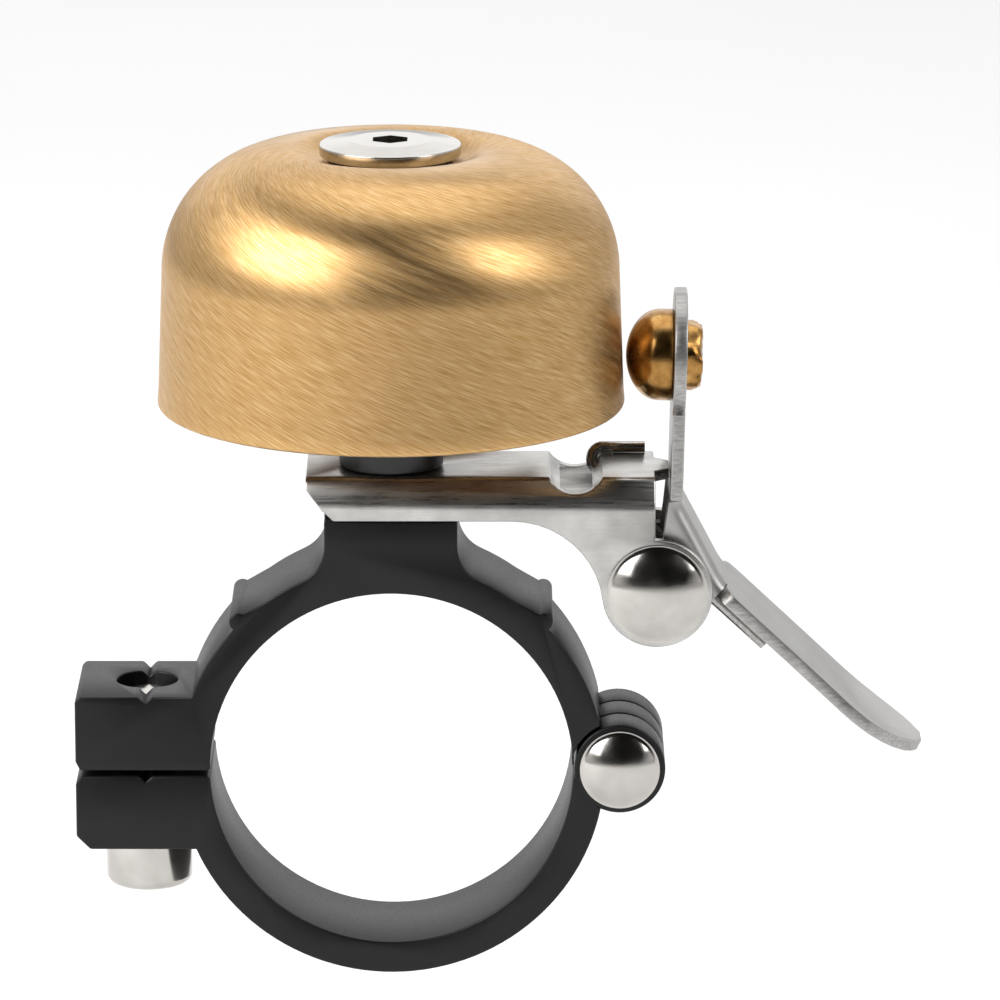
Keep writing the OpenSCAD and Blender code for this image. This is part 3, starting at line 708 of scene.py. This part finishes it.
# %% The pivot's sleeve
SLEEVE_R, SLEEVE_MIDDLE_R, SLEEVE_HOLE_R = 1.85, 1.7, 1.52
sleeve_half = high("pivot_sleeve").y
sleeve = turned(
    "pivot_sleeve_turned",
    eased([(SLEEVE_MIDDLE_R, -sleeve_half), (SLEEVE_R, -sleeve_half, 0.08),
           (SLEEVE_R, sleeve_half, 0.08), (SLEEVE_HOLE_R, sleeve_half),
           (SLEEVE_HOLE_R, -sleeve_half), (SLEEVE_MIDDLE_R, -sleeve_half)]),
    plated_sheet, place=(pivot_x, 0, pivot_z), turn=(-90, 0, 0), facets=64)
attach(sleeve, "root")
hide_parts("pivot_sleeve")

# %% [markdown]
# ## The clamp screw
# A socket-head screw goes up through the lower ear into the thread of the upper one. Its head is a
# plain cylinder with a rounded foot, and the end of the shank has a lead-in chamfer.

# %% The clamp screw
screw_x = (low("clamp_screw").x + high("clamp_screw").x) / 2
screw_low, screw_high = low("clamp_screw").z, high("clamp_screw").z
SCREW_HEAD_R, SCREW_HEAD_H = 3.8, 4.6
PLAIN_END, CORE_START, RIDGE_START = 6.8, 7.1, 7.4  # heights over the seat
seat = screw_low + SCREW_HEAD_H
clamp_screw = turned(
    "clamp_screw_turned",
    eased([(0, screw_low), (SCREW_HEAD_R, screw_low, 0.8), (SCREW_HEAD_R, seat, 0.15),
           (SHANK_R, seat, 0.1), (SHANK_R, seat + PLAIN_END), (CORE_R, seat + CORE_START),
           (CORE_R, screw_high - 0.5), (CORE_R - 0.5, screw_high, 0.1), (0, screw_high)]),
    bright_nickel, place=(screw_x, 0, 0), facets=96)
cut(clamp_screw, prism(6, 4, screw_x, 0, screw_low - 1, screw_low + 2.5))
clamp_screw = ridged(clamp_screw, (screw_x, 0, seat + RIDGE_START), 6, bright_nickel)
clamp_screw.name = "clamp_screw_threaded"
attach(clamp_screw, "clamp_screw")
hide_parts("clamp_screw")

# %% [markdown]
# ## Softened copies of the clamp and bracket
# The clamp halves and the bracket already have their true shapes in the CAD model, but with edges
# that are perfectly sharp. Real edges catch light on a small rounding, so each piece is a copy of
# its CAD mesh, merged into whole faces, whose edges are then bevelled: a wide one where the metal
# is folded or broached round, and a narrow one where blasting or tumbling took the sharpness off.
# An edge beside a face that is too narrow stays sharp, since its bevel would fold over itself.


# %% Copying and bevelling
def copied(node):
    """A bmesh with the CAD node's shape as whole faces, in mm."""
    shape = bmesh.new()
    shape.from_mesh(frame["nodes"][node].data)
    shape.transform(Matrix.Scale(1 / MM, 4))
    bmesh.ops.remove_doubles(shape, verts=shape.verts, dist=0.002)
    bmesh.ops.dissolve_limit(shape, angle_limit=math.radians(0.6), verts=shape.verts,
                             edges=shape.edges)
    return shape


def rounded(shape, width, segments, chosen):
    """Bevels the edges that chosen picks. chosen gets an edge, its turn and its middle point.

    An edge beside a face too narrow for the bevel stays sharp.
    """
    edges = []
    for edge in shape.edges:
        turn = math.degrees(edge.calc_face_angle(0))
        middle = (edge.verts[0].co + edge.verts[1].co) / 2
        if turn > 12 and edge.is_convex and chosen(edge, turn, middle) and all(
                face.calc_area() > 1.5 * width * edge.calc_length() for face in edge.link_faces):
            edges.append(edge)
    bmesh.ops.bevel(shape, geom=edges, offset=width, offset_type="OFFSET", segments=segments,
                    profile=0.5, affect="EDGES", clamp_overlap=False)
    bmesh.ops.dissolve_degenerate(shape, dist=0.0001, edges=shape.edges)
    return len(edges)


def made_of(name, shape, *finishes):
    """The bmesh, which is in mm, as a finished object."""
    shape.transform(Matrix.Scale(MM, 4))
    mesh = bpy.data.meshes.new(name)
    shape.to_mesh(mesh)
    shape.free()
    for finish in finishes:
        mesh.materials.append(finish)
    piece = bpy.data.objects.new(name, mesh)
    bpy.context.scene.collection.objects.link(piece)
    return piece


def runs_along(edge, axis):
    way = (edge.verts[1].co - edge.verts[0].co).normalized()
    return abs(way[axis]) > 0.99


# %% The clamp halves
BORE_R = 15.9
BROACHED, BLASTED = 0.35, 0.17


def ear_corner(edge, turn, middle):
    """Where the bore meets the ears."""
    return runs_along(edge, 1) and turn > 40 and middle.x < 0 and (
        abs(middle.xz.length - BORE_R) < 0.3 and abs(middle.z) < 1.5)


for name, node, body in (("clamp_upper_softened", "clamp_upper", "root"),
                         ("clamp_lower_softened", "clamp_lower", "clamp_lower")):
    shape = copied(node)
    wide = rounded(shape, BROACHED, 5, ear_corner)
    narrow = rounded(shape, BLASTED, 2, lambda edge, turn, middle: turn > 35)
    piece = made_of(name, shape, black_anodised)
    smoothed(piece, 35)
    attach(piece, body)
    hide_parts(node)
    print(name, wide, "wide and", narrow, "narrow edges,", len(piece.data.polygons), "faces")

# %% The bracket
FOLD_R, TUMBLED = 0.45, 0.12
shape = copied("bracket")
wide = rounded(shape, FOLD_R, 5, lambda edge, turn, middle: runs_along(edge, 0) and 15 < turn < 80)
narrow = rounded(shape, TUMBLED, 2, lambda edge, turn, middle: turn > 42)
bracket = made_of("bracket_pressed", shape, plated_sheet)
smoothed(bracket, 35)
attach(bracket, "root")
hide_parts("bracket")
print("bracket_pressed", wide, "folds and", narrow, "edges,", len(bracket.data.polygons), "faces")

# %% [markdown]
# ## The lever
# The lever is one stamping: a round lobe that carries the striker, a strip, a web whose sides are
# folded down as flanges round the pivot, and a thumb plate that is a little dished. A solid block
# can't show the folds, so the outer skin is laid out as stations along the lever's side view, with
# points across each. On the web the outer points go round the fold, and lines run on from there to
# the rivet's hole, so that no two cross. Solidify then gives the skin the sheet's thickness,
# inwards, a Boolean cuts the striker's hole, and a bevel takes the edge off the stamping. The
# flanges' own edges stay sharp, because they lie too close together to bevel.

# %% The side view of the lever
LEVER_T, LEVER_W, THUMB_W = 1.1, 9.3, 11.8  # the dish leans the edges out to 12
STRIKE_Z, LEAN, LOBE_R = 35.9, 1.3, 5.8
STRIP_X = 24.5735
TURN_STEP = 2.4  # degrees of a bend between two stations
FOOT_Z = plate_z - 2.2
BENDS = [(strip_top_z - FOOT_Z, 29, 3), (6.3, 19, 8), (14, 14, 28), (1.5, 0, 0)]
foot_x = STRIP_X - (STRIKE_Z - plate_z) * math.tan(math.radians(LEAN))
top_x = foot_x + (strip_top_z - plate_z) * math.tan(math.radians(LEAN))


def side_view(step=0.35):
    """Points along the sheet's upper face with the heading at each."""
    here, way = Vector((top_x, strip_top_z)), math.radians(-90 - LEAN)
    track = []

    def note():
        track.append((here + LEVER_T * Vector((-math.sin(way), math.cos(way))), way))

    note()
    for straight, turn, radius in BENDS:
        straight_steps = max(1, round(straight / step))
        for _ in range(straight_steps):
            here = here + straight / straight_steps * Vector((math.cos(way), math.sin(way)))
            note()
        turn_steps = round(abs(turn) / TURN_STEP)
        for _ in range(turn_steps):
            a = math.radians(turn) / turn_steps
            chord = 2 * radius * math.sin(a / 2)
            here = here + chord * Vector((math.cos(way + a / 2), math.sin(way + a / 2)))
            way += a
            note()
    return track


track = side_view()
tip_x = max(p.x for p, _ in track)
thumb_x = pivot_x + 6.3
print("lever stations:", len(track), "tip at x =", round(tip_x, 2))

# %% The skin of the lever
FOLD_OUT = 1.2
FLAT = LEVER_W / 2 - FOLD_OUT
DISH = 0.45
SHOULDER_Z = 31.85  # where the lobe's circle steps out to the strip
END_W, NARROW = 1.2, 3.4  # the flat at a rounded end, and where the outer columns close up
ACROSS, OUTER, DOWN = 10, 6, 7


def half_width(p):
    """Half the sheet's width at a point of the side view."""
    if p.y > SHOULDER_Z:
        return max(math.sqrt(max(LOBE_R ** 2 - (p.y - STRIKE_Z) ** 2, 0.0)), END_W)
    if p.x < thumb_x:
        return LEVER_W / 2
    from_start, to_tip = p.x - thumb_x, max(tip_x - p.x, 0)
    end = THUMB_W / 2
    corner = 0.9
    width = end - (corner - math.sqrt(corner ** 2 - (corner - from_start) ** 2)
                   if from_start < corner else 0)
    if to_tip < end:
        width = min(width, math.sqrt(max(end ** 2 - (end - to_tip) ** 2, 0.0)))
    return max(width, END_W)


def spread(p, way, y, dip=0.0):
    """The 3-D point at y across the sheet, dipped below its face."""
    out = Vector((-math.sin(way), math.cos(way)))
    q = p - out * dip
    return q.x, y, q.y


shape = bmesh.new()
ends = [i for i, (p, _) in enumerate(track) if p.y < FOOT_Z + 0.2 and p.x < thumb_x]
first_web, last_web = ends[0], ends[-1]


def flat_row(p, way, w):
    """Vertices straight across the sheet, dished on the thumb plate."""
    share = [FLAT / (LEVER_W / 2) * (2 * k / ACROSS - 1) for k in range(ACROSS + 1)]
    if w < NARROW:
        share = [2 * k / ACROSS - 1 for k in range(ACROSS + 1)]
    outer = [share[-1] + (1 - share[-1]) * k / OUTER for k in range(1, OUTER + 1)]
    share = [-u for u in outer[::-1]] + share + outer
    depth = DISH * min(max((p.x - 36) / 5, 0), 1) * min(max((tip_x - p.x) / 3, 0), 1)
    return [shape.verts.new(spread(p, way, u * w, depth * (1 - u * u))) for u in share]


def join(a, b):
    for k in range(len(a) - 1):
        corners = list(dict.fromkeys((a[k], a[k + 1], b[k + 1], b[k])))
        if len(corners) > 2:
            shape.faces.new(corners)


rows = {}
previous = None
for i, (p, way) in enumerate(track):
    if first_web < i < last_web:
        continue
    row = flat_row(p, way, half_width(p))
    rows[i] = row
    if previous is not None and i != last_web:
        join(previous, row)
    previous = row

# The web and its folded sides. A side is laid out as lines that run in to the rivet's hole, first
# from the fold and then, further round, from the flange's own round edge.
FLANGE_R, SIDE_STEPS, SIDE_HOLE_R = 4.0, 36, 1.55
EASE_STEPS = 5  # lines over which the edge comes in from the fold to the round
LAST_GAP = 0.01  # radians left before the first line
pivot_at = Vector((pivot_x, pivot_z))
middle_of = slice(OUTER, OUTER + ACROSS + 1)


def to_hole(outer, side):
    """Vertices from an outer point of a side to the edge of the hole, without the first."""
    hole = pivot_at + SIDE_HOLE_R * (outer - pivot_at).normalized()
    points = [outer.lerp(hole, k / DOWN) for k in range(1, DOWN + 1)]
    return [shape.verts.new((q.x, side * LEVER_W / 2, q.y)) for q in points]


web_rows, fold_ends = [], []
for i in range(first_web, last_web + 1):
    p, way = track[i]
    fold_end = p - FOLD_OUT * Vector((-math.sin(way), math.cos(way)))
    middle = rows[i][middle_of] if i in rows else [
        shape.verts.new(spread(p, way, FLAT * (2 * k / ACROSS - 1))) for k in range(ACROSS + 1)]
    sides = []
    for side in (-1, 1):
        turns = [math.pi / 2 * k / OUTER for k in range(1, OUTER + 1)]
        fold = [shape.verts.new(spread(p, way, side * (FLAT + FOLD_OUT * math.sin(a)),
                                       FOLD_OUT * (1 - math.cos(a)))) for a in turns]
        sides.append(fold + to_hole(fold_end, side))
    web_rows.append(sides[0][::-1] + list(middle) + sides[1])
    fold_ends.append(fold_end)
for a, b in zip(web_rows, web_rows[1:]):
    join(a, b)

last_arm, first_arm = fold_ends[-1] - pivot_at, fold_ends[0] - pivot_at
from_a = math.atan2(last_arm.y, last_arm.x)
to_a = math.atan2(first_arm.y, first_arm.x) - math.tau
for side, lines in ((-1, [row[:DOWN + 1][::-1] for row in web_rows]),
                    (1, [row[-DOWN - 1:] for row in web_rows])):
    previous = lines[-1]
    for k in range(1, SIDE_STEPS + 1):
        a = from_a + (to_a + LAST_GAP - from_a) * k / SIDE_STEPS
        reach = FLANGE_R + (last_arm.length - FLANGE_R) * max(0, 1 - k / EASE_STEPS) ** 2
        outer = pivot_at + reach * Vector((math.cos(a), math.sin(a)))
        line = [shape.verts.new((outer.x, side * LEVER_W / 2, outer.y))] + to_hole(outer, side)
        join(previous, line)
        previous = line
    join(previous, lines[0])
bmesh.ops.remove_doubles(shape, verts=shape.verts, dist=0.01)
bmesh.ops.recalc_face_normals(shape, faces=shape.faces)
top_face = max(shape.faces, key=lambda f: f.calc_center_median().x)
if top_face.normal.z < 0:
    bmesh.ops.reverse_faces(shape, faces=shape.faces)
lever = made_of("lever_stamped", shape, lever_steel, sheared_edge)

# %% The lever's thickness, the striker's hole and the edges
STAMPED = 0.13
strike_at = Vector((STRIP_X, 0, STRIKE_Z))
solid = lever.modifiers.new("sheet", "SOLIDIFY")
solid.thickness, solid.offset, solid.use_even_offset = LEVER_T * MM, -1, False
solid.material_offset_rim = 1
settled(lever)
tenon_hole = prism(48, 2 * SIDE_HOLE_R, 0, 0, -1, LEVER_T + 1)
tenon_hole.location = strike_at * MM
tenon_hole.rotation_euler = (0, math.radians(90 + LEAN), 0)
cut(lever, tenon_hole)


def on_flange(point):
    """On a folded side, whose edges are too close together to bevel."""
    x, y, z = point / MM
    return abs(y) > 3 and x < thumb_x - 0.4 and z < FOOT_Z - 0.3


shape = bmesh.new()
shape.from_mesh(lever.data)
sheared = [e for e in shape.edges if math.degrees(e.calc_face_angle(0)) > 55
           and not any(on_flange(v.co) for v in e.verts)]
bmesh.ops.bevel(shape, geom=sheared, offset=STAMPED * MM, offset_type="OFFSET", segments=2,
                profile=0.5, affect="EDGES", clamp_overlap=False, material=0)
bmesh.ops.dissolve_degenerate(shape, dist=SAME_POINT, edges=shape.edges)
shape.to_mesh(lever.data)
shape.free()
smoothed(lever, 40)
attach(lever, "lever")
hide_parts("lever")
print("lever_stamped", len(lever.data.polygons), "faces")

# %% [markdown]
# ## The striker
# The striker is a turned half ball with a short cylindrical skirt. Its tenon goes through the lobe
# and is peened over with a hammer, which leaves a rough, faceted head on the far side. The whole
# of it is turned, and a displacement with a coarse noise gives the hammered end its facets.

# %% The striker
BALL_R, BALL_LEN, SKIRT = 4.0, 4.1, 1.2
TAIL_R, TAIL_H = 3.2, 1.6
DENT_SPACING, DENT_DEPTH, DENT_PINCH = 1.3, 0.35, 0.12  # mm, mm, and a share of the radius
nose = [(BALL_R * math.sin(a), -BALL_LEN + (BALL_LEN - SKIRT) * (1 - math.cos(a)))
        for a in (math.radians(90 * k / 24) for k in range(25))]
points = nose + eased([nose[-1], (BALL_R, -0.05, 0.12), (1.5, -0.05), (1.5, LEVER_T + 0.02),
                       (TAIL_R, LEVER_T + 0.02, 0.1), (TAIL_R - 0.05, LEVER_T + TAIL_H * 0.35),
                       (TAIL_R - 0.1, LEVER_T + TAIL_H * 0.7),
                       (TAIL_R - 0.3, LEVER_T + TAIL_H - 0.05, 0.25), (2, LEVER_T + TAIL_H - 0.05),
                       (1, LEVER_T + TAIL_H - 0.08), (0, LEVER_T + TAIL_H - 0.1)])[1:]
striker = turned("striker_turned", points, turned_brass, place=(STRIP_X, 0, STRIKE_Z),
                 turn=(0, 90 + LEAN, 0), facets=64)
along = Vector((math.cos(math.radians(LEAN)), 0, -math.sin(math.radians(LEAN))))
for vertex in striker.data.vertices:
    from_face = (vertex.co / MM - strike_at).dot(along)
    if from_face > LEVER_T + 0.1:
        cell = noise.voronoi(vertex.co / (DENT_SPACING * MM))[0]
        vertex.co -= along * (DENT_DEPTH * MM * min(cell[0], 1))
        off = vertex.co - strike_at * MM
        off -= along * off.dot(along)
        vertex.co -= off * DENT_PINCH * min(cell[0], 1)
smoothed(striker, 28)
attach(striker, "lever")
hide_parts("striker")

# %% [markdown]
# ## The return spring
# One length of wire makes a coil round the pivot's sleeve, a leg up the back of the bracket that
# hooks over its plate, and a leg that pushes up under the thumb plate. A tree that sweeps a round
# section along a path makes it, with the path worked out here as the coiling machine would: leg,
# coil, leg, hook. When the lever turns, the front leg goes with it while the hook stays, so the
# coil winds up.

# %% The wire tree
wire = bpy.data.node_groups.new("wire", "GeometryNodeTree")
for label, kind in (("Path", "NodeSocketGeometry"), ("Diameter", "NodeSocketFloat"),
                    ("Sides", "NodeSocketInt"), ("Finish", "NodeSocketMaterial")):
    wire.interface.new_socket(label, in_out="INPUT", socket_type=kind)
wire.interface.new_socket("Piece", in_out="OUTPUT", socket_type="NodeSocketGeometry")
given = add(wire, "NodeGroupInput").outputs
path = add(wire, "GeometryNodeMeshToCurve", {"Mesh": given["Path"]}).outputs["Curve"]
radius = add(wire, "ShaderNodeMath", {0: given["Diameter"], 1: 0.5}, operation="MULTIPLY")
section = add(wire, "GeometryNodeCurvePrimitiveCircle", {
    "Resolution": given["Sides"], "Radius": radius.outputs[0]}).outputs["Curve"]
swept = add(wire, "GeometryNodeCurveToMesh", {
    "Curve": path, "Profile Curve": section, "Fill Caps": True}).outputs["Mesh"]
single = add(wire, "GeometryNodeRealizeInstances", {"Geometry": swept}).outputs[0]
finished = add(wire, "GeometryNodeSetMaterial", {
    "Geometry": single, "Material": given["Finish"]}).outputs[0]
add(wire, "NodeGroupOutput", {"Piece": finished})

# %% The spring's path
WIRE_D, COIL_R, COIL_HALF, COIL_TURNS = 1.0, 2.5, 2.75, 5
FRONT_A, FRONT_L, HOOK_R, HOOK_BAR = 47, 10.6, 1.0, 3.7
NOTCH_BACK, HOOK_ON, SEAT_GAP = 7.1, 2.45, 0.02  # the notch, the hook in it, and its clearance
LEG_OUT, BAR_OUT = 0.75, 0.7
HOOK_X = pivot_x - NOTCH_BACK + HOOK_ON
HOOK_Z = plate_z + SEAT_GAP + WIRE_D / 2 - HOOK_R
HOOK_Y = COIL_HALF + LEG_OUT
BAR_Y = HOOK_Y + BAR_OUT


def coil_point(degrees, y):
    a = math.radians(degrees)
    return Vector((pivot_x + COIL_R * math.cos(a), y, pivot_z + COIL_R * math.sin(a)))


to_hook = Vector((HOOK_X - pivot_x, HOOK_Z - pivot_z))
leg_a = math.degrees(math.atan2(to_hook.y, to_hook.x)
                     + math.asin((COIL_R + HOOK_R) / to_hook.length))
turn = 360 * COIL_TURNS + leg_a - 90 - FRONT_A
steps = COIL_TURNS * 36
front = math.radians(FRONT_A)
start = coil_point(FRONT_A, -COIL_HALF)
leg = [start + FRONT_L * k / 12 * Vector((math.sin(front), 0, -math.cos(front)))
       for k in range(12, 0, -1)]
coil = [coil_point(FRONT_A + turn * k / steps, COIL_HALF * (2 * k / steps - 1))
        for k in range(steps + 1)]
hook = [Vector((x, HOOK_Y + (BAR_Y - HOOK_Y) * k / 14, z))
        for k, (x, z) in enumerate(arc(HOOK_X, HOOK_Z, HOOK_R, leg_a + 90, 90, 14))]
leave, arrive = coil[-1], hook[0]
rise = []
for k in range(1, 10):
    s = k / 10
    ease = s * s * (3 - 2 * s)
    straight = leave.lerp(arrive, s)
    straight.y = leave.y + (arrive.y - leave.y) * ease
    rise.append(straight)
bar = [Vector((HOOK_X + HOOK_BAR * k / 4, BAR_Y, HOOK_Z + HOOK_R)) for k in range(1, 5)]
path = leg + coil + rise + hook + bar
mesh = bpy.data.meshes.new("spring path")
mesh.from_pydata([p * MM for p in path], [(k, k + 1) for k in range(len(path) - 1)], [])
spring = grown("return_spring_wound", wire, mesh, **{
    "Diameter": WIRE_D * MM, "Sides": 16, "Finish": spring_wire})
smoothed(spring, 50)
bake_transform(spring)
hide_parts("return_spring")
print("return_spring_wound", len(path), "path points,", len(spring.data.polygons), "faces")

# %% [markdown]
# ## Floor, light and camera
# Metal looks like whatever surrounds it. A pale floor and pale surroundings give the light parts of
# the reflections, and a dark patch of sky in front of and above the bell gives the dark ones, which
# is what shows a curved metal surface as curved. One soft box stands at each side of that patch,
# one hangs above, and a wide weak one behind lights the floor's far part. The floor lies below the
# opened clamp's reach, so every pose shows, and the closed bell hangs above it.

# %% The floor
FLOOR_HALF = 6.0
FLOOR_GAP = 2  # mm below the opened clamp
opened_reach = hinge_x - low("clamp_lower").x  # how far the opened clamp hangs down
floor_z = -(opened_reach + FLOOR_GAP) * MM
shape = bmesh.new()
bmesh.ops.create_grid(shape, x_segments=8, y_segments=8, size=FLOOR_HALF / MM)
floor = made_of("floor", shape)
floor.location.z = floor_z
pale_floor, tree, shader = started("pale_floor", "#F4F4F4", {"Roughness": 0.9})
place = add(tree, "ShaderNodeTexCoord").outputs["Object"]
mottle = add(tree, "ShaderNodeTexNoise", {"Vector": place, "Scale": 6.0, "Detail": 3.0})
tree.links.new(ramp(tree, mottle.outputs["Fac"], (0.3, "#F3F3F3"), (0.7, "#F6F6F6")),
               shader.inputs["Base Color"])
floor.data.materials.append(pale_floor)

# %% The surroundings
world = bpy.data.worlds.new("studio")
bpy.context.scene.world = world
world.use_nodes = True
tree = world.node_tree
background = tree.nodes["Background"]
direction = add(tree, "ShaderNodeTexCoord").outputs["Generated"]
DARK_AT, DARK_ELEVATION = (0.05, -1.0), 30
SKY_STRENGTH = 0.84
dark_way = Vector((DARK_AT[0], DARK_AT[1], 0)).normalized() * math.cos(
    math.radians(DARK_ELEVATION)) + Vector((0, 0, math.sin(math.radians(DARK_ELEVATION))))
toward = add(tree, "ShaderNodeVectorMath", {0: direction, 1: dark_way},
             operation="DOT_PRODUCT").outputs["Value"]
sky = ramp(tree, toward, (0.5, "#F2F2F2"), (0.74, "#1C1C1C"))
tree.links.new(sky, background.inputs["Color"])
background.inputs["Strength"].default_value = SKY_STRENGTH


# %% The soft boxes
def soft_box(name, place, size, power, aim=(0, 0, 0.03)):
    """An area light at place, in metres, turned towards aim."""
    light = bpy.data.lights.new(name, "AREA")
    light.shape, light.size, light.size_y = "RECTANGLE", size[0], size[1]
    light.energy = power
    box = bpy.data.objects.new(name, light)
    box.location = place
    box.rotation_mode = "QUATERNION"
    box.rotation_quaternion = (Vector(aim) - Vector(place)).to_track_quat("-Z", "Y")
    bpy.context.scene.collection.objects.link(box)


soft_box("left soft box", (-0.52, -0.32, 0.42), (0.58, 0.50), 5.4)
soft_box("right soft box", (0.52, -0.26, 0.38), (0.26, 0.36), 1.5)
soft_box("top light", (0.0, 0.25, 0.9), (0.8, 0.8), 2.5)
soft_box("back soft box", (0.0, 0.95, 0.40), (1.5, 0.55), 1.7)

# %% The camera
camera_data = bpy.data.cameras.new("camera")
camera = bpy.data.objects.new("camera", camera_data)
bpy.context.scene.collection.objects.link(camera)
CAMERA_AT, CAMERA_ELEVATION = (9.5, -595.0, 175.6), 14.4
LENS, SENSOR = 252.36, 36
camera.location = Vector(CAMERA_AT) * MM
camera.rotation_euler = (math.radians(90 - CAMERA_ELEVATION), 0, 0)
camera_data.lens, camera_data.sensor_width = LENS, SENSOR
camera_data.clip_start, camera_data.clip_end = 0.01, 60
bpy.context.scene.camera = camera
bpy.context.scene.view_settings.view_transform = "Standard"
